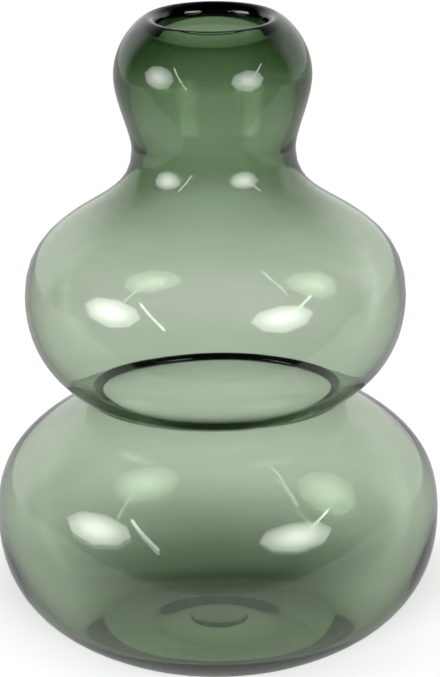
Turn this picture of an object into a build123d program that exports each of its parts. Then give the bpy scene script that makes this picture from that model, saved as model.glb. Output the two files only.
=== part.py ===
from build123d import *
import os

# A gourd-shaped vase of mouth-blown glass: a wide lower bulb, a middle bulb above a pinched waist,
# and a small top bulb, above a narrow neck, whose heavy wall turns in to a rounded mouth.
# All the glass is round about Z. Lengths are millimetres, the base rests on Z = 0, and the origin
# is the middle of the standing ring.
# An outline is drawn flat, as radius across and height up, and turned about Z.

# Heights above the table
OVERALL_HEIGHT = 300.0
LOWER_HEIGHT = 65.0
WAIST_HEIGHT = 120.5
MIDDLE_HEIGHT = 168.5

# How far the upper turns of the outline are below the ridge of the lip
NECK_DROP = 62.2
TOP_DROP = 27.3

# Outside diameters at the turns
STANDING_DIAMETER = 104.0
LOWER_DIAMETER = 205.0
WAIST_DIAMETER = 117.2
MIDDLE_DIAMETER = 176.0
NECK_DIAMETER = 75.4
TOP_DIAMETER = 91.2
MOUTH_DIAMETER = 50.3

# Glass thickness at the turns
FLOOR_WALL = 6.3
LOWER_WALL = 2.25
WAIST_WALL = 4.6
MIDDLE_WALL = 2.4
NECK_WALL = 6.0
TOP_WALL = 7.3

# Inside: the level floor, the straight throat of the mouth, and the rounds where the glass turns
FLOOR_DIAMETER = 110.0
MOUTH_RUN = 3.6
LIP_ROUND_RADIUS = 4.7
COLLAR_ROUND_RADIUS = 2.2
THROAT_ROUND_RADIUS = 1.5

# Outside: how far the fire softens the crease of the waist to each side of it
CREASE_REACH = 1.0

# Underside: a standing ring, a shallow kick inside it and the seal left by the pontil rod
FOOT_ROUND_RADIUS = 10.0
KICK_DIAMETER = 68.0
SEAL_DIAMETER = 27.0
SEAL_THICKNESS = 1.4
SEAL_CLEARANCE = 0.8
SEAL_LEDGE = 2.0

# Where the glass of one zone is joined to the next, measured along Z
BASE_JOINT_RISE = 8.0
WAIST_RING_HEIGHT = 12.0
RIM_HEIGHT = 12.0
SHOULDER_JOINT_SHARE = 0.63
COLLAR_JOINT_SHARE = 0.42

# Directions of the outline in degrees, above or below level
HEEL_ANGLE = 23.0
CREASE_ANGLE_BELOW = 27.0
CREASE_ANGLE_ABOVE = 28.0
THROAT_ANGLE_BELOW = 24.0
THROAT_ANGLE_ABOVE = 25.0

# Turns in degrees: how far the mouth leans out from upright, and where its collar turns to
LIP_LEAN = 15.3
COLLAR_TURN = 59.0
QUARTER_TURN = 90.0
HALF_TURN = 180.0

# How far each curve runs on before it bends, as shares of the rise or the reach that it crosses
HEEL_SHARES = (0.65, 0.54)
LOWER_SHOULDER_SHARES = (0.40, 0.90)
CREASE_SHARE = 0.33
MIDDLE_UNDERSIDE_SHARES = (0.67, 0.48)
MIDDLE_SHOULDER_SHARES = (0.62, 0.46)
TOP_UNDERSIDE_SHARES = (0.25, 0.33)
TOP_SHOULDER_SHARES = (0.62, 0.15)
INNER_DOME_SHARES = (0.26, 0.33)
INNER_TOP_SHARES = (0.47, 0.17)
INNER_SHOULDER_SHARES = (0.53, 0.64)
INNER_UNDERSIDE_SHARES = (0.53, 0.60)
INNER_WAIST_SHARES = (0.85, 0.38)
INNER_HEEL_SHARES = (0.57, 0.47)
KICK_SHARES = (0.45, 0.35)
SEAL_SHARES = (0.70, 0.50)

# Heights of the turns
rim_z = OVERALL_HEIGHT
lower_z = LOWER_HEIGHT
waist_z = WAIST_HEIGHT
middle_z = MIDDLE_HEIGHT
neck_z = rim_z - NECK_DROP
top_z = rim_z - TOP_DROP
kick_z = SEAL_CLEARANCE + SEAL_THICKNESS
floor_z = kick_z + FLOOR_WALL

# Outside radii
standing_r = STANDING_DIAMETER / 2
lower_r = LOWER_DIAMETER / 2
waist_r = WAIST_DIAMETER / 2
middle_r = MIDDLE_DIAMETER / 2
neck_r = NECK_DIAMETER / 2
top_r = TOP_DIAMETER / 2
mouth_r = MOUTH_DIAMETER / 2
ridge_r = mouth_r + LIP_ROUND_RADIUS
floor_r = FLOOR_DIAMETER / 2
kick_r = KICK_DIAMETER / 2
seal_r = SEAL_DIAMETER / 2


def ahead(point, degrees, length):
    """The point a length away from another, in a direction given in degrees above level."""
    return Vector(*point) + Vector(length, 0).rotate(Axis.Z, degrees)


def swell(start, end, shares):
    """A curve that is upright at both ends, from one turn of the outline to the next."""
    rise = end[1] - start[1]
    first = (start[0], start[1] + shares[0] * rise)
    last = (end[0], end[1] - shares[1] * rise)
    return Bezier(start, first, last, end)


def outside_edges():
    """The outline of the outside, from the edge of the kick up to the ridge of the lip."""
    standing = Line((kick_r, 0), (standing_r, 0))
    foot_round = JernArc((standing_r, 0), (1, 0), FOOT_ROUND_RADIUS, HEEL_ANGLE)
    heel_start = foot_round @ 1
    heel_reach = lower_r - heel_start.X
    heel_rise = lower_z - heel_start.Y
    heel = Bezier(
        heel_start,
        ahead(heel_start, HEEL_ANGLE, HEEL_SHARES[0] * heel_reach),
        (lower_r, lower_z - HEEL_SHARES[1] * heel_rise),
        (lower_r, lower_z),
    )
    crease = (waist_r, waist_z)
    crease_low = ahead(crease, -CREASE_ANGLE_BELOW, CREASE_REACH)
    crease_high = ahead(crease, CREASE_ANGLE_ABOVE, CREASE_REACH)
    lower_shoulder = Bezier(
        (lower_r, lower_z),
        (lower_r, lower_z + LOWER_SHOULDER_SHARES[0] * (waist_z - lower_z)),
        ahead(crease, -CREASE_ANGLE_BELOW, LOWER_SHOULDER_SHARES[1] * (lower_r - waist_r)),
        crease_low,
    )
    crease_round = Bezier(
        crease_low,
        ahead(crease, -CREASE_ANGLE_BELOW, CREASE_SHARE * CREASE_REACH),
        ahead(crease, CREASE_ANGLE_ABOVE, CREASE_SHARE * CREASE_REACH),
        crease_high,
    )
    middle_underside = Bezier(
        crease_high,
        ahead(crease, CREASE_ANGLE_ABOVE, MIDDLE_UNDERSIDE_SHARES[0] * (middle_r - waist_r)),
        (middle_r, middle_z - MIDDLE_UNDERSIDE_SHARES[1] * (middle_z - waist_z)),
        (middle_r, middle_z),
    )
    middle_shoulder = swell((middle_r, middle_z), (neck_r, neck_z), MIDDLE_SHOULDER_SHARES)
    top_underside = swell((neck_r, neck_z), (top_r, top_z), TOP_UNDERSIDE_SHARES)
    top_shoulder = Bezier(
        (top_r, top_z),
        (top_r, top_z + TOP_SHOULDER_SHARES[0] * TOP_DROP),
        (ridge_r + TOP_SHOULDER_SHARES[1] * (top_r - ridge_r), rim_z),
        (ridge_r, rim_z),
    )
    return [standing, foot_round, heel, lower_shoulder, crease_round, middle_underside, middle_shoulder,
            top_underside, top_shoulder]


def mouth_edges():
    """The inside of the mouth, from the ridge of the lip down to the widest ring of the top bulb."""
    top = (top_r - TOP_WALL, top_z)
    lip = CenterArc((ridge_r, rim_z - LIP_ROUND_RADIUS), LIP_ROUND_RADIUS, QUARTER_TURN,
                    QUARTER_TURN + LIP_LEAN)
    throat = Line(lip @ 1, ahead(lip @ 1, LIP_LEAN - QUARTER_TURN, MOUTH_RUN))
    collar_centre = ahead(throat @ 1, LIP_LEAN, COLLAR_ROUND_RADIUS)
    collar = CenterArc(collar_centre, COLLAR_ROUND_RADIUS, HALF_TURN + LIP_LEAN, COLLAR_TURN - LIP_LEAN)
    dome_start = collar @ 1
    dome = Bezier(
        dome_start,
        ahead(dome_start, COLLAR_TURN - QUARTER_TURN, INNER_DOME_SHARES[0] * (top[0] - dome_start.X)),
        (top[0], top_z + INNER_DOME_SHARES[1] * (dome_start.Y - top_z)),
        top,
    )
    return [lip, throat, collar, dome]


def inside_edges():
    """The outline of the inside, from the widest ring of the top bulb to the middle of the floor."""
    top = (top_r - TOP_WALL, top_z)
    neck = (neck_r - NECK_WALL, neck_z)
    middle = (middle_r - MIDDLE_WALL, middle_z)
    lower = (lower_r - LOWER_WALL, lower_z)
    throat_centre = (waist_r - WAIST_WALL + THROAT_ROUND_RADIUS, waist_z)
    throat_turn = HALF_TURN - THROAT_ANGLE_ABOVE - THROAT_ANGLE_BELOW
    throat = CenterArc(throat_centre, THROAT_ROUND_RADIUS, QUARTER_TURN + THROAT_ANGLE_ABOVE, throat_turn)
    throat_top = throat @ 0
    throat_foot = throat @ 1
    underside_reach = middle[0] - throat_top.X
    waist_reach = lower[0] - throat_foot.X
    inner_top = swell(top, neck, INNER_TOP_SHARES)
    inner_shoulder = swell(neck, middle, INNER_SHOULDER_SHARES)
    inner_underside = Bezier(
        middle,
        (middle[0], middle_z - INNER_UNDERSIDE_SHARES[0] * (middle_z - throat_top.Y)),
        ahead(throat_top, THROAT_ANGLE_ABOVE, INNER_UNDERSIDE_SHARES[1] * underside_reach),
        throat_top,
    )
    inner_waist = Bezier(
        throat_foot,
        ahead(throat_foot, -THROAT_ANGLE_BELOW, INNER_WAIST_SHARES[0] * waist_reach),
        (lower[0], lower_z + INNER_WAIST_SHARES[1] * (throat_foot.Y - lower_z)),
        lower,
    )
    inner_heel = Bezier(
        lower,
        (lower[0], lower_z - INNER_HEEL_SHARES[0] * (lower_z - floor_z)),
        (floor_r + INNER_HEEL_SHARES[1] * (lower[0] - floor_r), floor_z),
        (floor_r, floor_z),
    )
    inner_floor = Line((floor_r, floor_z), (0, floor_z))
    return [inner_top, inner_shoulder, inner_underside, throat, inner_waist, inner_heel, inner_floor]


def underside_edges():
    """The outline of the underside, from the middle of the floor out to the edge of the kick."""
    ledge_r = seal_r + SEAL_LEDGE
    kick_reach = kick_r - ledge_r
    middle_line = Line((0, floor_z), (0, kick_z))
    seat = Line((0, kick_z), (ledge_r, kick_z))
    kick = Bezier(
        (ledge_r, kick_z),
        (ledge_r + KICK_SHARES[0] * kick_reach, kick_z),
        (kick_r - KICK_SHARES[1] * kick_reach, 0),
        (kick_r, 0),
    )
    return [middle_line, seat, kick]


def turned(edges):
    """The solid that a closed outline makes when it is turned about Z."""
    outline = make_face(Curve() + edges)
    return revolve(Plane.XZ * outline, Axis.Z)


def zone(glass, low, high):
    """The stretch of glass between two heights."""
    height = high - low
    slab = Pos(0, 0, low) * Cylinder(LOWER_DIAMETER + MIDDLE_DIAMETER, height,
                                     align=(Align.CENTER, Align.CENTER, Align.MIN))
    return glass & slab


def pontil_seal():
    """The low button of glass that the pontil rod left in the kick."""
    low = (0, kick_z - SEAL_THICKNESS)
    edge = (seal_r, kick_z)
    face_down = Bezier(
        low,
        (SEAL_SHARES[0] * seal_r, low[1]),
        (seal_r, kick_z - SEAL_SHARES[1] * SEAL_THICKNESS),
        edge,
    )
    return turned([face_down, Line(edge, (0, kick_z)), Line((0, kick_z), low)])


glass = turned(outside_edges() + mouth_edges() + inside_edges() + underside_edges())

base_joint = floor_z + BASE_JOINT_RISE
waist_joint_below = waist_z - WAIST_RING_HEIGHT / 2
waist_joint_above = waist_z + WAIST_RING_HEIGHT / 2
shoulder_joint = middle_z + SHOULDER_JOINT_SHARE * (neck_z - middle_z)
collar_joint = neck_z + COLLAR_JOINT_SHARE * (top_z - neck_z)
rim_joint = rim_z - RIM_HEIGHT

nodes = {
    "base": zone(glass, 0, base_joint),
    "lower_bulb": zone(glass, base_joint, waist_joint_below),
    "waist_ring": zone(glass, waist_joint_below, waist_joint_above),
    "middle_bulb": zone(glass, waist_joint_above, shoulder_joint),
    "neck": zone(glass, shoulder_joint, collar_joint),
    "top_bulb": zone(glass, collar_joint, rim_joint),
    "rim": zone(glass, rim_joint, rim_z),
    "pontil_seal": pontil_seal(),
}

os.makedirs("parts", exist_ok=True)
for name, solid in nodes.items():
    export_step(solid, f"parts/{name}.step")
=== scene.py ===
"""A double gourd vase of green blown glass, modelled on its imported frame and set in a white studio."""

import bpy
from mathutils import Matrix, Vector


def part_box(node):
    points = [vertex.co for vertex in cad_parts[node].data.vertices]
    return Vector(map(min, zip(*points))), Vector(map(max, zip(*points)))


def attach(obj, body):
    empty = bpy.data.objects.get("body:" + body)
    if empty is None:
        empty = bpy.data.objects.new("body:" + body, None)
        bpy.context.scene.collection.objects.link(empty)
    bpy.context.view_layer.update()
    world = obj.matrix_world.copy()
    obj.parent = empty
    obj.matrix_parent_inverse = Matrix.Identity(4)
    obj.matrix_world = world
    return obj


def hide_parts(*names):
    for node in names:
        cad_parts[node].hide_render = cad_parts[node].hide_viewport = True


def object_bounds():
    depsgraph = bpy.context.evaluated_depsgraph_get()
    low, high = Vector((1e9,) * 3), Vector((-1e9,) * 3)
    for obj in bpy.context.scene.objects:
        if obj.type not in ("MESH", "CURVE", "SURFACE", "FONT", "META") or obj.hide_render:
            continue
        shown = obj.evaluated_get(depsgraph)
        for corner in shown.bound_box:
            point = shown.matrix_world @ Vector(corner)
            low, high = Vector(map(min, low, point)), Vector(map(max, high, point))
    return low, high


bl_info = {
    "name": "Double gourd vase",
    "version": (1, 0, 0),
    "blender": (4, 5, 0),
    "location": "3D View > Sidebar > Vase",
    "description": "Blows a green glass vase with three bulbs and lights it in a white studio",
    "category": "Object",
}

from math import cos, pi, radians, sin, tan

import bpy
from bpy.props import (
    FloatProperty,
    FloatVectorProperty,
    IntProperty,
    PointerProperty,
)
from mathutils import Matrix, Vector

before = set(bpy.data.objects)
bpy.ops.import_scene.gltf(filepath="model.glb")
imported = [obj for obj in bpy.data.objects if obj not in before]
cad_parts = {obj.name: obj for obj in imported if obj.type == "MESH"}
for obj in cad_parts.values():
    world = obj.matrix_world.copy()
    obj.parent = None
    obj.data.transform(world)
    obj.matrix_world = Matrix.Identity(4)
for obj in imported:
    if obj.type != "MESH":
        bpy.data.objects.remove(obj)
CAD_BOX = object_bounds()

GLASS_NODES = ("base", "lower_bulb", "waist_ring", "middle_bulb", "neck", "top_bulb", "rim", "pontil_seal")

# Points of the turned outline that are nearer than this, in metres, are one point
MERGE_DISTANCE = 1e-6
# A count of reflections under this is none
NO_REFLECTION = 0.5
# The camera's film, in millimetres, and the furthest it sees, in metres
FILM_WIDTH = 36.0
SIGHT_LIMIT = 50.0
# Corners of a lamp, squares along each side of a board, and that side before the board is stretched
LAMP_CORNERS = 8
BOARD_SQUARES = 8
BOARD_SIDE = 1.0


def across(node):
    """How wide a node of the frame is."""
    low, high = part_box(node)
    return high[0] - low[0]


class VaseShape(bpy.types.PropertyGroup):
    """The outline of the vase, and how thick its glass is."""

    height: FloatProperty(
        name="Height", description="From the table to the ridge of the lip",
        default=CAD_BOX[1][2], unit="LENGTH")
    lower_height: FloatProperty(
        name="Lower bulb height", description="Height of the lower bulb's widest ring",
        default=0.065, unit="LENGTH")
    waist_height: FloatProperty(
        name="Waist height", description="Height of the pinched waist",
        default=0.1205, unit="LENGTH")
    middle_height: FloatProperty(
        name="Middle bulb height", description="Height of the middle bulb's widest ring",
        default=0.1685, unit="LENGTH")
    neck_height: FloatProperty(
        name="Neck height", description="Height of the narrowest ring of the neck",
        default=0.2378, unit="LENGTH")
    top_height: FloatProperty(
        name="Top bulb height", description="Height of the top bulb's widest ring",
        default=0.2727, unit="LENGTH")
    standing_across: FloatProperty(
        name="Standing ring", description="Diameter of the flat ring that rests on the table",
        default=0.104, unit="LENGTH")
    lower_across: FloatProperty(
        name="Lower bulb", description="Diameter of the lower bulb",
        default=across("lower_bulb"), unit="LENGTH")
    waist_across: FloatProperty(
        name="Waist", description="Diameter in the crease of the waist",
        default=0.1172, unit="LENGTH")
    middle_across: FloatProperty(
        name="Middle bulb", description="Diameter of the middle bulb",
        default=across("middle_bulb"), unit="LENGTH")
    neck_across: FloatProperty(
        name="Neck", description="Diameter of the neck",
        default=0.0754, unit="LENGTH")
    top_across: FloatProperty(
        name="Top bulb", description="Diameter of the top bulb",
        default=across("top_bulb"), unit="LENGTH")
    mouth_across: FloatProperty(
        name="Mouth", description="Diameter of the clear mouth",
        default=0.0503, unit="LENGTH")
    floor_wall: FloatProperty(
        name="Floor glass", description="Thickness of the floor",
        default=0.0063, unit="LENGTH")
    lower_wall: FloatProperty(
        name="Lower bulb glass", description="Thickness at the lower bulb's widest ring",
        default=0.00225, unit="LENGTH")
    waist_wall: FloatProperty(
        name="Waist glass", description="Thickness at the waist",
        default=0.0046, unit="LENGTH")
    middle_wall: FloatProperty(
        name="Middle bulb glass", description="Thickness at the middle bulb's widest ring",
        default=0.0024, unit="LENGTH")
    neck_wall: FloatProperty(
        name="Neck glass", description="Thickness at the neck",
        default=0.0060, unit="LENGTH")
    top_wall: FloatProperty(
        name="Top bulb glass", description="Thickness at the top bulb's widest ring",
        default=0.0073, unit="LENGTH")
    valley_across: FloatProperty(
        name="Valley", description="Diameter of the lowest ring of the inside, round the floor",
        default=0.110, unit="LENGTH")
    valley_height: FloatProperty(
        name="Valley height", description="Height of that ring above the table",
        default=0.0085, unit="LENGTH")
    throat_round: FloatProperty(
        name="Throat round", description="Radius of the rounded step inside the waist",
        default=0.0015, unit="LENGTH")
    crease_round: FloatProperty(
        name="Crease round", description="How far the fire softens the crease outside the waist",
        default=0.001, unit="LENGTH")
    lip_round: FloatProperty(
        name="Lip round", description="Radius of the fire-polished lip",
        default=0.0047, unit="LENGTH")
    foot_round: FloatProperty(
        name="Foot round", description="Radius between the standing ring and the heel",
        default=0.010, unit="LENGTH")
    kick_across: FloatProperty(
        name="Kick", description="Diameter of the hollow under the floor",
        default=0.068, unit="LENGTH")
    kick_rise: FloatProperty(
        name="Kick rise", description="Depth of the hollow under the floor",
        default=0.0022, unit="LENGTH")
    seal_across: FloatProperty(
        name="Pontil seal", description="Diameter of the button of glass that the pontil rod left",
        default=across("pontil_seal"), unit="LENGTH")
    seal_drop: FloatProperty(
        name="Seal drop", description="How far that button hangs below the floor",
        default=0.0014, unit="LENGTH")
    seal_ledge: FloatProperty(
        name="Seal ledge", description="Width of the level ring round it",
        default=0.002, unit="LENGTH")
    heel_angle: FloatProperty(
        name="Heel angle", description="Slope of the heel where it leaves the foot",
        default=radians(23), subtype="ANGLE")
    crease_below: FloatProperty(
        name="Crease below", description="Slope of the lower bulb's shoulder at the crease",
        default=radians(27), subtype="ANGLE")
    crease_above: FloatProperty(
        name="Crease above", description="Slope of the middle bulb's underside at the crease",
        default=radians(28), subtype="ANGLE")
    throat_below: FloatProperty(
        name="Throat below", description="Slope of the inside just below the waist",
        default=radians(24), subtype="ANGLE")
    throat_above: FloatProperty(
        name="Throat above", description="Slope of the inside just above the waist",
        default=radians(25), subtype="ANGLE")
    lip_lean: FloatProperty(
        name="Lip lean", description="How far the throat of the mouth widens downwards from upright",
        default=radians(15.3), subtype="ANGLE")
    throat_run: FloatProperty(
        name="Throat run", description="Length of the straight throat below the lip",
        default=0.0036, unit="LENGTH")
    collar_round: FloatProperty(
        name="Collar round", description="Radius where the collar turns out to the inside of the top bulb",
        default=0.0022, unit="LENGTH")
    collar_turn: FloatProperty(
        name="Collar turn", description="How far the glass turns there",
        default=radians(59), subtype="ANGLE")
    heel_shares: FloatVectorProperty(
        name="Heel run", description="Share of the heel that runs on straight at its foot and its top",
        size=2, default=(0.65, 0.54))
    lower_shares: FloatVectorProperty(
        name="Lower shoulder run", description="Share of the shoulder that runs on straight at each end",
        size=2, default=(0.40, 0.90))
    middle_low_shares: FloatVectorProperty(
        name="Middle underside run", description="Share of the underside that runs on straight at each end",
        size=2, default=(0.67, 0.48))
    middle_high_shares: FloatVectorProperty(
        name="Middle shoulder run", description="Share of the shoulder that runs on straight at each end",
        size=2, default=(0.62, 0.46))
    top_low_shares: FloatVectorProperty(
        name="Top underside run", description="Share of the underside that runs on straight at each end",
        size=2, default=(0.25, 0.33))
    top_high_shares: FloatVectorProperty(
        name="Top shoulder run", description="Share of the shoulder that runs on straight at each end",
        size=2, default=(0.62, 0.15))
    dome_shares: FloatVectorProperty(
        name="Top dome run",
        description="Share of the dome inside the top bulb that runs on straight at each end",
        size=2, default=(0.26, 0.33))
    top_inside_shares: FloatVectorProperty(
        name="Inner top run",
        description="Share of the inside of the top bulb that runs on straight at each end",
        size=2, default=(0.47, 0.17))
    shoulder_inside_shares: FloatVectorProperty(
        name="Inner shoulder run",
        description="Share of the inside of the shoulder that runs on straight at each end",
        size=2, default=(0.53, 0.64))
    middle_inside_shares: FloatVectorProperty(
        name="Inner underside run",
        description="Share of the inside of the underside that runs on straight at each end",
        size=2, default=(0.53, 0.60))
    lower_inside_shares: FloatVectorProperty(
        name="Inner lower run",
        description="Share of the inside of the lower shoulder that runs on straight at each end",
        size=2, default=(0.85, 0.38))
    heel_inside_shares: FloatVectorProperty(
        name="Inner heel run",
        description="Share of the inside of the heel that runs on straight at each end",
        size=2, default=(0.47, 0.57))
    floor_shares: FloatVectorProperty(
        name="Floor run", description="Share of the floor that runs on level at each end",
        size=2, default=(0.45, 0.45))
    kick_shares: FloatVectorProperty(
        name="Kick run", description="Share of the hollow that runs on straight at each end",
        size=2, default=(0.45, 0.35))
    seal_shares: FloatVectorProperty(
        name="Seal run", description="Share of the seal that runs on straight at each end",
        size=2, default=(0.70, 0.50))
    curve_steps: IntProperty(
        name="Curve steps", description="Straight pieces in each curve of the outline", default=14)
    turn_steps: IntProperty(
        name="Turn steps", description="Facets round the vase", default=192)


class VaseGlass(bpy.types.PropertyGroup):
    """The colour and the surface of the glass."""

    tint: FloatVectorProperty(
        name="Tint", description="Colour that the glass lets through",
        size=3, subtype="COLOR", min=0.0, max=1.0, default=(0.2475, 0.41, 0.175))
    density: FloatProperty(
        name="Depth of colour", description="How fast the glass takes up light, for each metre of glass",
        default=200.0)
    refraction: FloatProperty(
        name="Refraction", description="How strongly the glass bends light", default=1.5)
    ripple: FloatProperty(
        name="Ripple", description="Height of the slow waves that blowing leaves in the skin",
        default=0.00015, unit="LENGTH")
    ripple_length: FloatProperty(
        name="Ripple length", description="Length of those waves",
        default=0.045, unit="LENGTH")
    cord_scale: FloatProperty(
        name="Cord scale", description="How many fine cords run round the glass in each metre of height",
        default=60.0)
    cord_depth: FloatProperty(
        name="Cord depth",
        description="Height of the fine cords that turning the pipe draws round the skin",
        default=0.00004, unit="LENGTH")
    cord_stretch: FloatVectorProperty(
        name="Cord stretch", description="How far the cords are drawn out round the vase, across and up",
        size=3, default=(0.25, 0.25, 1.0))
    cord_detail: FloatProperty(
        name="Cord detail", description="How many finer cords run among them", default=1.0)
    cord_range: FloatVectorProperty(
        name="Cord range", description="Levels of the cords at which the skin is palest and deepest",
        size=2, default=(0.35, 0.75))
    dull_range: FloatVectorProperty(
        name="Dull range",
        description="Levels of the cords at which the polish starts to dull and is dullest",
        size=2, default=(0.62, 0.85))
    polish: FloatVectorProperty(
        name="Polish", description="Roughness of the clearest and the dullest patch of the skin",
        size=2, default=(0.0, 0.012))
    pale_patch: FloatVectorProperty(
        name="Pale patch", description="Colour of the skin where the batch is palest",
        size=3, subtype="COLOR", min=0.0, max=1.0, default=(1.0, 1.0, 1.0))
    deep_patch: FloatVectorProperty(
        name="Deep patch", description="Colour of the skin where the batch is deepest",
        size=3, subtype="COLOR", min=0.0, max=1.0, default=(0.955, 0.985, 0.95))


class VaseStudio(bpy.types.PropertyGroup):
    """The camera, the lamps and the white surroundings."""

    eye: FloatVectorProperty(
        name="Eye", description="Where the camera stands",
        size=3, subtype="TRANSLATION", unit="LENGTH", default=(0.0, -2.565, 0.9096))
    aim: FloatVectorProperty(
        name="Aim", description="What the camera looks at",
        size=3, subtype="TRANSLATION", unit="LENGTH", default=(0.0019, 0.0, 0.1468))
    roll: FloatProperty(
        name="Roll", description="Tilt of the camera about its line of sight",
        default=radians(0.7), subtype="ANGLE")
    lens: FloatProperty(
        name="Lens", description="Focal length in millimetres", default=307.5)
    lamp_distance: FloatProperty(
        name="Lamp distance", description="How far the lamps stand from the vase",
        default=4.0, unit="LENGTH")
    lamp_size: FloatProperty(
        name="Lamp size", description="Height of each eight-sided lamp",
        default=2.3, unit="LENGTH")
    lamp_stretch: FloatProperty(
        name="Lamp stretch", description="How many times wider than high each lamp is", default=1.25)
    lamp_height: FloatProperty(
        name="Lamp height", description="How high the lamps stand above the horizon",
        default=radians(12), subtype="ANGLE")
    left_lamp: FloatProperty(
        name="Left lamp", description="Bearing of the left lamp from the camera",
        default=radians(-66), subtype="ANGLE")
    right_lamp: FloatProperty(
        name="Right lamp", description="Bearing of the right lamp from the camera",
        default=radians(41), subtype="ANGLE")
    lamp_strength: FloatProperty(
        name="Lamp strength", description="Brightness at the middle of each lamp", default=12.0)
    lamp_edge_strength: FloatProperty(
        name="Lamp edge strength", description="Brightness at the edge of each lamp", default=4.0)
    left_stand: FloatVectorProperty(
        name="Left stand",
        description="Bearing and height of the top of the left lamp's boom, then of its foot",
        size=4, subtype="NONE", default=(radians(-51), radians(31), radians(-30), radians(1)))
    right_stand: FloatVectorProperty(
        name="Right stand",
        description="Bearing and height of the top of the right lamp's boom, then of its foot",
        size=4, subtype="NONE", default=(radians(67), radians(31), radians(48), radians(16)))
    stand_width: FloatProperty(
        name="Stand width", description="Width of each boom", default=0.12, unit="LENGTH")
    stand_strength: FloatProperty(
        name="Stand strength", description="Brightness of each boom", default=9.0)
    room_light: FloatProperty(
        name="Room light", description="Brightness of the room that lights the table", default=0.5)
    front_light: FloatProperty(
        name="Front light",
        description="Brightness of the room in front that the glass mirrors", default=0.03)
    ceiling_light: FloatProperty(
        name="Ceiling light", description="Brightness of the ceiling that the glass shows", default=0.12)
    wall_edge: FloatVectorProperty(
        name="Wall edge",
        description="Where the white wall behind fades to the dim front, as a share of a unit",
        size=2, default=(0.22, 0.50))
    wall_turn: FloatProperty(
        name="Wall turn", description="Bearing of the middle of the white wall from straight behind",
        default=radians(8.5), subtype="ANGLE")
    ceiling_edge: FloatVectorProperty(
        name="Ceiling edge",
        description="Where the white wall fades to the dim ceiling, as a share of a unit",
        size=2, default=(0.35, 0.75))
    table_front: FloatProperty(
        name="Table front", description="How far the table's front edge is from the middle of the vase",
        default=0.20, unit="LENGTH")
    table_size: FloatProperty(
        name="Table size", description="Width and depth of the table top", default=4.0, unit="LENGTH")
    table_paint: FloatVectorProperty(
        name="Table paint", description="Colour of the table",
        size=3, subtype="COLOR", min=0.0, max=1.0, default=(0.5, 0.5, 0.5))
    # Painted shadow: near a spot behind the vase, the table's colour turns this green. It stands in for
    # green light that falls through the glass.
    painted_shadow_tint: FloatVectorProperty(
        name="Shadow paint",
        description="Colour of the table where green light falls on it through the vase",
        size=3, subtype="COLOR", min=0.0, max=1.0, default=(0.47, 0.54, 0.47))
    table_glow: FloatProperty(
        name="Table glow", description="Light that the table shows beside what falls on it", default=0.70)
    table_mirrored: FloatProperty(
        name="Table mirrored",
        description="Share of that light which a reflection in the glass shows", default=0.26)
    # Painted shadow: around a spot behind the vase, the table's glow drops to this level. It fades out over
    # the distances below.
    painted_shadow_glow: FloatProperty(
        name="Shadow glow", description="Light that it shows in the vase's shadow", default=0.0)
    painted_shadow_place: FloatVectorProperty(
        name="Shadow place", description="Middle of the vase's shadow on the table",
        size=3, subtype="TRANSLATION", unit="LENGTH", default=(0.0, 0.10, 0.0))
    painted_shadow_fade: FloatVectorProperty(
        name="Shadow fade", description="Distances over which the shadow fades out",
        size=2, unit="LENGTH", default=(0.03, 0.145))


def deselect_everything():
    """Leaves edit mode and clears the selection."""
    if bpy.context.object and bpy.context.object.mode != "OBJECT":
        bpy.ops.object.mode_set(mode="OBJECT")
    bpy.ops.object.select_all(action="DESELECT")


def ahead(point, angle, length):
    """The point a length away from another, in a direction above level."""
    return (point[0] + length * cos(angle), point[1] + length * sin(angle))


class Outline:
    """A run of curves in radius and height, kept as the knots of one Bezier spline."""

    def __init__(self, start):
        self.knots = [[start, start, start]]

    def curve(self, first, last, end):
        """Goes on to end, leaving towards first and arriving from last."""
        self.knots[-1][2] = first
        self.knots.append([last, end, end])

    def line(self, end):
        """Goes on straight to end."""
        start = self.knots[-1][1]
        third = ((end[0] - start[0]) / 3, (end[1] - start[1]) / 3)
        self.curve((start[0] + third[0], start[1] + third[1]), (end[0] - third[0], end[1] - third[1]), end)

    def arc(self, centre, radius, start_angle, turn):
        """Goes on round a centre in two curves."""
        half = turn / 2
        reach = 4 / 3 * tan(half / 4) * radius
        for angle in (start_angle, start_angle + half):
            start = ahead(centre, angle, radius)
            end = ahead(centre, angle + half, radius)
            self.curve(ahead(start, angle + pi / 2, reach), ahead(end, angle + half - pi / 2, reach), end)

    def swell(self, end, shares):
        """Goes on to end, upright at both ends."""
        start = self.knots[-1][1]
        rise = end[1] - start[1]
        self.curve((start[0], start[1] + shares[0] * rise), (end[0], end[1] - shares[1] * rise), end)

    @property
    def end(self):
        return self.knots[-1][1]


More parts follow.
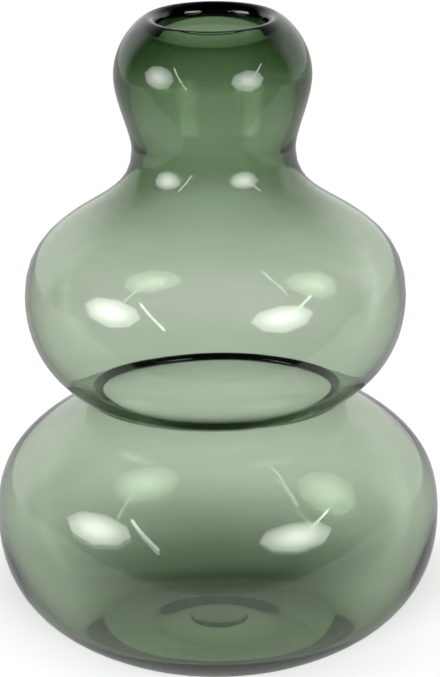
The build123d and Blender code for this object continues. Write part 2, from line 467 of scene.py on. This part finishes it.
def outside_of_glass(shape, outline):
    """Draws the outside from the edge of the kick up to the ridge of the lip."""
    lower = (shape.lower_across / 2, shape.lower_height)
    middle = (shape.middle_across / 2, shape.middle_height)
    crease = (shape.waist_across / 2, shape.waist_height)
    neck = (shape.neck_across / 2, shape.neck_height)
    top = (shape.top_across / 2, shape.top_height)
    ridge = (shape.mouth_across / 2 + shape.lip_round, shape.height)
    standing = (shape.standing_across / 2, 0.0)
    outline.line(standing)
    outline.arc((standing[0], shape.foot_round), shape.foot_round, -pi / 2, shape.heel_angle)
    foot = outline.end
    outline.curve(
        ahead(foot, shape.heel_angle, shape.heel_shares[0] * (lower[0] - foot[0])),
        (lower[0], lower[1] - shape.heel_shares[1] * (lower[1] - foot[1])),
        lower)
    below = ahead(crease, -shape.crease_below, shape.crease_round)
    above = ahead(crease, shape.crease_above, shape.crease_round)
    outline.curve(
        (lower[0], lower[1] + shape.lower_shares[0] * (crease[1] - lower[1])),
        ahead(crease, -shape.crease_below, shape.lower_shares[1] * (lower[0] - crease[0])),
        below)
    outline.curve(
        ahead(crease, -shape.crease_below, shape.crease_round / 3),
        ahead(crease, shape.crease_above, shape.crease_round / 3),
        above)
    outline.curve(
        ahead(crease, shape.crease_above, shape.middle_low_shares[0] * (middle[0] - crease[0])),
        (middle[0], middle[1] - shape.middle_low_shares[1] * (middle[1] - crease[1])),
        middle)
    outline.swell(neck, shape.middle_high_shares)
    outline.swell(top, shape.top_low_shares)
    outline.curve(
        (top[0], top[1] + shape.top_high_shares[0] * (ridge[1] - top[1])),
        (ridge[0] + shape.top_high_shares[1] * (top[0] - ridge[0]), ridge[1]),
        ridge)


def inside_of_glass(shape, outline):
    """Draws the inside from the ridge of the lip down to the middle of the floor."""
    mouth = shape.mouth_across / 2
    top = (shape.top_across / 2 - shape.top_wall, shape.top_height)
    neck = (shape.neck_across / 2 - shape.neck_wall, shape.neck_height)
    middle = (shape.middle_across / 2 - shape.middle_wall, shape.middle_height)
    lower = (shape.lower_across / 2 - shape.lower_wall, shape.lower_height)
    valley = (shape.valley_across / 2, shape.valley_height)
    apex = (0.0, shape.kick_rise + shape.floor_wall)
    outline.arc(
        (mouth + shape.lip_round, shape.height - shape.lip_round), shape.lip_round,
        pi / 2, pi / 2 + shape.lip_lean)
    outline.line(ahead(outline.end, shape.lip_lean - pi / 2, shape.throat_run))
    outline.arc(
        ahead(outline.end, shape.lip_lean, shape.collar_round), shape.collar_round,
        pi + shape.lip_lean, shape.collar_turn - shape.lip_lean)
    dome = outline.end
    outline.curve(
        ahead(dome, shape.collar_turn - pi / 2, shape.dome_shares[0] * (top[0] - dome[0])),
        (top[0], top[1] + shape.dome_shares[1] * (dome[1] - top[1])),
        top)
    outline.swell(neck, shape.top_inside_shares)
    outline.swell(middle, shape.shoulder_inside_shares)
    throat = (shape.waist_across / 2 - shape.waist_wall + shape.throat_round, shape.waist_height)
    throat_top = ahead(throat, pi / 2 + shape.throat_above, shape.throat_round)
    outline.curve(
        (middle[0], middle[1] - shape.middle_inside_shares[0] * (middle[1] - throat_top[1])),
        ahead(throat_top, shape.throat_above, shape.middle_inside_shares[1] * (middle[0] - throat_top[0])),
        throat_top)
    outline.arc(
        throat, shape.throat_round, pi / 2 + shape.throat_above,
        pi - shape.throat_above - shape.throat_below)
    throat_foot = outline.end
    outline.curve(
        ahead(throat_foot, -shape.throat_below, shape.lower_inside_shares[0] * (lower[0] - throat_foot[0])),
        (lower[0], lower[1] + shape.lower_inside_shares[1] * (throat_foot[1] - lower[1])),
        lower)
    outline.curve(
        (lower[0], lower[1] - shape.heel_inside_shares[1] * (lower[1] - valley[1])),
        (valley[0] + shape.heel_inside_shares[0] * (lower[0] - valley[0]), valley[1]),
        valley)
    outline.curve(
        (valley[0] - shape.floor_shares[0] * valley[0], valley[1]),
        (shape.floor_shares[1] * valley[0], apex[1]),
        apex)


def glass_outline(shape):
    """The whole outline of the glass, from the middle of its underside round to the middle of its floor."""
    seal = shape.seal_across / 2
    ledge = seal + shape.seal_ledge
    edge = shape.kick_across / 2
    outline = Outline((0.0, shape.kick_rise - shape.seal_drop))
    outline.curve(
        (shape.seal_shares[0] * seal, shape.kick_rise - shape.seal_drop),
        (seal, shape.kick_rise - shape.seal_shares[1] * shape.seal_drop),
        (seal, shape.kick_rise))
    outline.line((ledge, shape.kick_rise))
    outline.curve(
        (ledge + shape.kick_shares[0] * (edge - ledge), shape.kick_rise),
        (edge - shape.kick_shares[1] * (edge - ledge), 0.0),
        (edge, 0.0))
    outside_of_glass(shape, outline)
    inside_of_glass(shape, outline)
    return outline


def draw_outline(name, outline, steps):
    """Draws an outline as a Bezier curve in the XZ plane and makes it a mesh."""
    deselect_everything()
    bpy.ops.curve.primitive_bezier_curve_add(location=(0.0, 0.0, 0.0))
    drawing = bpy.context.object
    drawing.name = name
    drawing.data.resolution_u = steps
    spline = drawing.data.splines[0]
    spline.bezier_points.add(len(outline.knots) - len(spline.bezier_points))
    for point, (before, knot, after) in zip(spline.bezier_points, outline.knots):
        point.handle_left_type = point.handle_right_type = "FREE"
        point.handle_left = (before[0], 0.0, before[1])
        point.co = (knot[0], 0.0, knot[1])
        point.handle_right = (after[0], 0.0, after[1])
    bpy.ops.object.convert(target="MESH")
    return bpy.context.object


class VASE_OT_blow_glass(bpy.types.Operator):
    """Turns the outline of the glass into the vase and gives its skin the slow waves of blown glass"""

    bl_idname = "vase.blow_glass"
    bl_label = "Blow the glass"
    bl_options = {"REGISTER", "UNDO"}

    def execute(self, context):
        shape = context.scene.vase_shape
        glass = context.scene.vase_glass
        vase = draw_outline("vase_glass", glass_outline(shape), shape.curve_steps)
        bpy.ops.object.mode_set(mode="EDIT")
        bpy.ops.mesh.select_all(action="SELECT")
        bpy.ops.mesh.spin(steps=shape.turn_steps, angle=2 * pi, center=(0.0, 0.0, 0.0), axis=(0.0, 0.0, 1.0))
        bpy.ops.mesh.select_all(action="SELECT")
        bpy.ops.mesh.remove_doubles(threshold=MERGE_DISTANCE)
        bpy.ops.mesh.normals_make_consistent(inside=False)
        bpy.ops.object.mode_set(mode="OBJECT")
        bpy.ops.object.shade_smooth()
        waves = bpy.data.textures.new("blown_waves", "CLOUDS")
        waves.noise_scale = glass.ripple_length
        waves.noise_depth = 0
        ripple = vase.modifiers.new("ripple", "DISPLACE")
        ripple.texture = waves
        ripple.texture_coords = "LOCAL"
        ripple.mid_level = 0.5
        ripple.strength = glass.ripple
        bpy.ops.object.modifier_apply(modifier=ripple.name)
        vase.data.materials.append(green_glass(glass))
        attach(vase, "root")
        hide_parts(*GLASS_NODES)
        return {"FINISHED"}


def new_material(name):
    """An empty node material with its output node."""
    material = bpy.data.materials.new(name)
    material.use_nodes = True
    material.node_tree.nodes.clear()
    return material, material.node_tree.nodes.new("ShaderNodeOutputMaterial")


def smooth_step(nodes, links, value, start, end, low, high):
    """A value that goes smoothly from low to high while another goes from start to end."""
    step = nodes.new("ShaderNodeMapRange")
    step.interpolation_type = "SMOOTHSTEP"
    links.new(value, step.inputs["Value"])
    step.inputs["From Min"].default_value = start
    step.inputs["From Max"].default_value = end
    step.inputs["To Min"].default_value = low
    step.inputs["To Max"].default_value = high
    return step.outputs["Result"]


def blown_skin(nodes, links, glass, body):
    """Gives a glass shader the fine cords, pale and deep patches and changing polish of a blown skin."""
    place = nodes.new("ShaderNodeTexCoord")
    drawn_out = nodes.new("ShaderNodeMapping")
    drawn_out.inputs["Scale"].default_value = glass.cord_stretch
    links.new(place.outputs["Object"], drawn_out.inputs["Vector"])
    cords = nodes.new("ShaderNodeTexNoise")
    cords.inputs["Scale"].default_value = glass.cord_scale
    cords.inputs["Detail"].default_value = glass.cord_detail
    links.new(drawn_out.outputs[0], cords.inputs["Vector"])
    patches = nodes.new("ShaderNodeValToRGB")
    pale, deep = patches.color_ramp.elements
    pale.position, deep.position = glass.cord_range
    pale.color = (*glass.pale_patch, 1.0)
    deep.color = (*glass.deep_patch, 1.0)
    links.new(cords.outputs["Fac"], patches.inputs["Fac"])
    links.new(patches.outputs["Color"], body.inputs["Base Color"])
    polish = smooth_step(nodes, links, cords.outputs["Fac"], *glass.dull_range, *glass.polish)
    links.new(polish, body.inputs["Roughness"])
    skin = nodes.new("ShaderNodeBump")
    skin.inputs["Strength"].default_value = 1.0
    skin.inputs["Distance"].default_value = glass.cord_depth
    links.new(cords.outputs["Fac"], skin.inputs["Height"])
    links.new(skin.outputs[0], body.inputs["Normal"])


def green_glass(glass):
    """Clear green glass whose colour deepens with its thickness."""
    material, output = new_material("green_glass")
    nodes, links = material.node_tree.nodes, material.node_tree.links
    body = nodes.new("ShaderNodeBsdfPrincipled")
    blown_skin(nodes, links, glass, body)
    body.inputs["IOR"].default_value = glass.refraction
    body.inputs["Transmission Weight"].default_value = 1.0
    clear = nodes.new("ShaderNodeBsdfTransparent")
    path = nodes.new("ShaderNodeLightPath")
    lamp_ray = nodes.new("ShaderNodeMath")
    lamp_ray.operation = "MAXIMUM"
    links.new(path.outputs["Is Shadow Ray"], lamp_ray.inputs[0])
    links.new(path.outputs["Is Diffuse Ray"], lamp_ray.inputs[1])
    surface = nodes.new("ShaderNodeMixShader")
    links.new(lamp_ray.outputs[0], surface.inputs[0])
    links.new(body.outputs[0], surface.inputs[1])
    links.new(clear.outputs[0], surface.inputs[2])
    links.new(surface.outputs[0], output.inputs["Surface"])
    depth = nodes.new("ShaderNodeVolumeAbsorption")
    depth.inputs["Color"].default_value = (*glass.tint, 1.0)
    depth.inputs["Density"].default_value = glass.density
    links.new(depth.outputs[0], output.inputs["Volume"])
    return material


def straight_through(nodes, links):
    """The kinds of ray, and a value that is 1 for those that came through glass without a reflection."""
    path = nodes.new("ShaderNodeLightPath")
    unreflected = nodes.new("ShaderNodeMath")
    unreflected.operation = "LESS_THAN"
    links.new(path.outputs["Glossy Depth"], unreflected.inputs[0])
    unreflected.inputs[1].default_value = NO_REFLECTION
    through = nodes.new("ShaderNodeMath")
    through.operation = "MULTIPLY"
    links.new(path.outputs["Is Transmission Ray"], through.inputs[0])
    links.new(unreflected.outputs[0], through.inputs[1])
    return path, through.outputs[0]


def choose(nodes, links, factor, off, on):
    """A value that is off where factor is 0 and on where it is 1."""
    mix = nodes.new("ShaderNodeMix")
    mix.data_type = "FLOAT"
    links.new(factor, mix.inputs["Factor"])
    for socket, value in (("A", off), ("B", on)):
        if isinstance(value, float):
            mix.inputs[socket].default_value = value
        else:
            links.new(value, mix.inputs[socket])
    return mix.outputs["Result"]


def white_room(studio):
    """A world that is white where it is looked at, with a white wall behind, and a dim front and ceiling."""
    world = bpy.data.worlds.new("white_room")
    bpy.context.scene.world = world
    world.use_nodes = True
    nodes, links = world.node_tree.nodes, world.node_tree.links
    nodes.clear()
    output = nodes.new("ShaderNodeOutputWorld")
    background = nodes.new("ShaderNodeBackground")
    background.inputs["Color"].default_value = (1.0, 1.0, 1.0, 1.0)
    links.new(background.outputs[0], output.inputs["Surface"])
    path, through = straight_through(nodes, links)
    direction = nodes.new("ShaderNodeTexCoord")
    parts = nodes.new("ShaderNodeSeparateXYZ")
    links.new(direction.outputs["Generated"], parts.inputs[0])
    ceiling = smooth_step(nodes, links, parts.outputs["Z"], *studio.ceiling_edge, 1.0, studio.ceiling_light)
    behind = nodes.new("ShaderNodeVectorMath")
    behind.operation = "DOT_PRODUCT"
    links.new(direction.outputs["Generated"], behind.inputs[0])
    behind.inputs[1].default_value = (sin(studio.wall_turn), cos(studio.wall_turn), 0.0)
    wall = smooth_step(nodes, links, behind.outputs["Value"], *studio.wall_edge, studio.front_light, 1.0)
    mirrored = nodes.new("ShaderNodeMath")
    mirrored.operation = "MULTIPLY"
    links.new(ceiling, mirrored.inputs[0])
    links.new(wall, mirrored.inputs[1])
    level = choose(nodes, links, path.outputs["Is Diffuse Ray"], mirrored.outputs[0], studio.room_light)
    level = choose(nodes, links, through, level, ceiling)
    level = choose(nodes, links, path.outputs["Is Camera Ray"], level, 1.0)
    links.new(level, background.inputs["Strength"])


def painted_shadow_table(studio):
    """White table top that shows white and keeps the vase's soft cast shadow. A darker, greener shadow is
    also painted into its glow and colour around a spot behind the vase.
    """
    material, output = new_material("painted_shadow_table")
    nodes, links = material.node_tree.nodes, material.node_tree.links
    path, through = straight_through(nodes, links)
    place = nodes.new("ShaderNodeTexCoord")
    # Painted shadow: distance from the spot behind the vase where the shadow is painted darkest.
    far = nodes.new("ShaderNodeVectorMath")
    far.operation = "DISTANCE"
    links.new(place.outputs["Object"], far.inputs[0])
    far.inputs[1].default_value = studio.painted_shadow_place
    clear = smooth_step(nodes, links, far.outputs["Value"], *studio.painted_shadow_fade, 0.0, 1.0)
    # Painted shadow: near that spot, the table's glow falls from its plain level to the shadow level.
    glow_with_painted_shadow = choose(nodes, links, clear, studio.painted_shadow_glow, studio.table_glow)
    # Painted shadow colour: greener near that spot, and plain table paint away from it.
    tint = nodes.new("ShaderNodeValToRGB")
    tint.color_ramp.elements[0].color = (*studio.painted_shadow_tint, 1.0)
    tint.color_ramp.elements[1].color = (*studio.table_paint, 1.0)
    links.new(clear, tint.inputs["Fac"])
    paint = nodes.new("ShaderNodeBsdfDiffuse")
    links.new(tint.outputs["Color"], paint.inputs["Color"])
    glow = nodes.new("ShaderNodeEmission")
    level = choose(nodes, links, path.outputs["Is Diffuse Ray"], studio.table_mirrored, 0.0)
    level = choose(nodes, links, through, level, 1.0)
    level = choose(nodes, links, path.outputs["Is Camera Ray"], level, 1.0)
    shown = nodes.new("ShaderNodeMath")
    shown.operation = "MULTIPLY"
    links.new(level, shown.inputs[0])
    links.new(glow_with_painted_shadow, shown.inputs[1])
    links.new(shown.outputs[0], glow.inputs["Strength"])
    both = nodes.new("ShaderNodeAddShader")
    links.new(paint.outputs[0], both.inputs[0])
    links.new(glow.outputs[0], both.inputs[1])
    links.new(both.outputs[0], output.inputs["Surface"])
    return material


def lamp_cloth(name, middle, edge, size):
    """A lit surface, as bright as it says at its middle and its edge, which is never looked at directly."""
    material, output = new_material(name)
    nodes, links = material.node_tree.nodes, material.node_tree.links
    path, through = straight_through(nodes, links)
    place = nodes.new("ShaderNodeTexCoord")
    off_centre = nodes.new("ShaderNodeVectorMath")
    off_centre.operation = "LENGTH"
    links.new(place.outputs["Object"], off_centre.inputs[0])
    glow = nodes.new("ShaderNodeEmission")
    links.new(
        smooth_step(nodes, links, off_centre.outputs["Value"], 0.0, size / 2, middle, edge),
        glow.inputs["Strength"])
    hidden = nodes.new("ShaderNodeBsdfTransparent")
    surface = nodes.new("ShaderNodeMixShader")
    links.new(through, surface.inputs[0])
    links.new(glow.outputs[0], surface.inputs[1])
    links.new(hidden.outputs[0], surface.inputs[2])
    links.new(surface.outputs[0], output.inputs["Surface"])
    return material


def around_vase(bearing, height, distance):
    """A point round the middle of the vase, on a bearing from the camera and at an angle above level."""
    direction = Vector((sin(bearing) * cos(height), -cos(bearing) * cos(height), sin(height)))
    return Vector((0.0, 0.0, CAD_BOX[1][2] / 2)) + distance * direction


def set_light(lamp, name, cloth):
    """Names a lit surface, covers it and keeps it out of the camera's own sight."""
    lamp.name = name
    lamp.data.materials.append(cloth)
    lamp.visible_camera = False


def add_lamp(name, bearing, studio, cloth):
    """An eight-sided lamp that faces the vase."""
    place = around_vase(bearing, studio.lamp_height, studio.lamp_distance)
    facing = (around_vase(0.0, 0.0, 0.0) - place).to_track_quat("Z", "Y")
    deselect_everything()
    bpy.ops.mesh.primitive_circle_add(
        vertices=LAMP_CORNERS, radius=studio.lamp_size / 2, fill_type="NGON",
        location=place, rotation=facing.to_euler())
    bpy.context.object.scale = (studio.lamp_stretch, 1.0, 1.0)
    set_light(bpy.context.object, name, cloth)


def add_stand(name, ends, studio, cloth):
    """A slim straight boom beside a lamp, which the glass mirrors as a thin streak."""
    top = around_vase(ends[0], ends[1], studio.lamp_distance)
    foot = around_vase(ends[2], ends[3], studio.lamp_distance)
    place = (top + foot) / 2
    along = (top - foot).normalized()
    facing = (around_vase(0.0, 0.0, 0.0) - place).normalized()
    side = facing.cross(along).normalized()
    deselect_everything()
    bpy.ops.mesh.primitive_grid_add(
        x_subdivisions=BOARD_SQUARES, y_subdivisions=BOARD_SQUARES, size=BOARD_SIDE, location=place,
        rotation=Matrix((along, side, along.cross(side))).transposed().to_euler())
    bpy.context.object.scale = ((top - foot).length, studio.stand_width, 1.0)
    set_light(bpy.context.object, name, cloth)


class VASE_OT_set_stage(bpy.types.Operator):
    """Sets the white table, the two lamps, the room and the camera"""

    bl_idname = "vase.set_stage"
    bl_label = "Set the stage"
    bl_options = {"REGISTER", "UNDO"}

    def execute(self, context):
        studio = context.scene.vase_studio
        context.scene.view_settings.view_transform = "Standard"
        white_room(studio)
        deselect_everything()
        bpy.ops.mesh.primitive_grid_add(
            x_subdivisions=BOARD_SQUARES, y_subdivisions=BOARD_SQUARES, size=studio.table_size)
        table = context.object
        table.name = "table"
        bpy.ops.object.mode_set(mode="EDIT")
        bpy.ops.transform.translate(value=(0.0, studio.table_size / 2 - studio.table_front, 0.0))
        bpy.ops.object.mode_set(mode="OBJECT")
        table.data.materials.append(painted_shadow_table(studio))
        cloth = lamp_cloth("lamp_cloth", studio.lamp_strength, studio.lamp_edge_strength, studio.lamp_size)
        add_lamp("left_lamp", studio.left_lamp, studio, cloth)
        add_lamp("right_lamp", studio.right_lamp, studio, cloth)
        bright = lamp_cloth("bright_tube", studio.stand_strength, studio.stand_strength, BOARD_SIDE)
        add_stand("left_stand", studio.left_stand, studio, bright)
        add_stand("right_stand", studio.right_stand, studio, bright)
        deselect_everything()
        eye = Vector(studio.eye)
        sight = (Vector(studio.aim) - eye).to_track_quat("-Z", "Y").to_matrix()
        turned = sight @ Matrix.Rotation(-studio.roll, 3, "Z")
        bpy.ops.object.camera_add(location=eye, rotation=turned.to_euler())
        camera = context.object
        camera.name = "camera"
        camera.data.lens = studio.lens
        camera.data.sensor_width = FILM_WIDTH
        camera.data.clip_end = SIGHT_LIMIT
        context.scene.camera = camera
        return {"FINISHED"}


class VASE_PT_workshop(bpy.types.Panel):
    """The steps that make the vase, in order"""

    bl_idname = "VASE_PT_workshop"
    bl_label = "Double gourd vase"
    bl_space_type = "VIEW_3D"
    bl_region_type = "UI"
    bl_category = "Vase"

    def draw(self, context):
        for step in STEPS:
            self.layout.operator(step.bl_idname)


STEPS = (VASE_OT_blow_glass, VASE_OT_set_stage)
CLASSES = (VaseShape, VaseGlass, VaseStudio, *STEPS, VASE_PT_workshop)


def register():
    for cls in CLASSES:
        bpy.utils.register_class(cls)
    bpy.types.Scene.vase_shape = PointerProperty(type=VaseShape)
    bpy.types.Scene.vase_glass = PointerProperty(type=VaseGlass)
    bpy.types.Scene.vase_studio = PointerProperty(type=VaseStudio)


def unregister():
    del bpy.types.Scene.vase_studio
    del bpy.types.Scene.vase_glass
    del bpy.types.Scene.vase_shape
    for cls in reversed(CLASSES):
        bpy.utils.unregister_class(cls)


def main():
    register()
    bpy.ops.vase.blow_glass()
    bpy.ops.vase.set_stage()


if __name__ == "__main__":
    main()
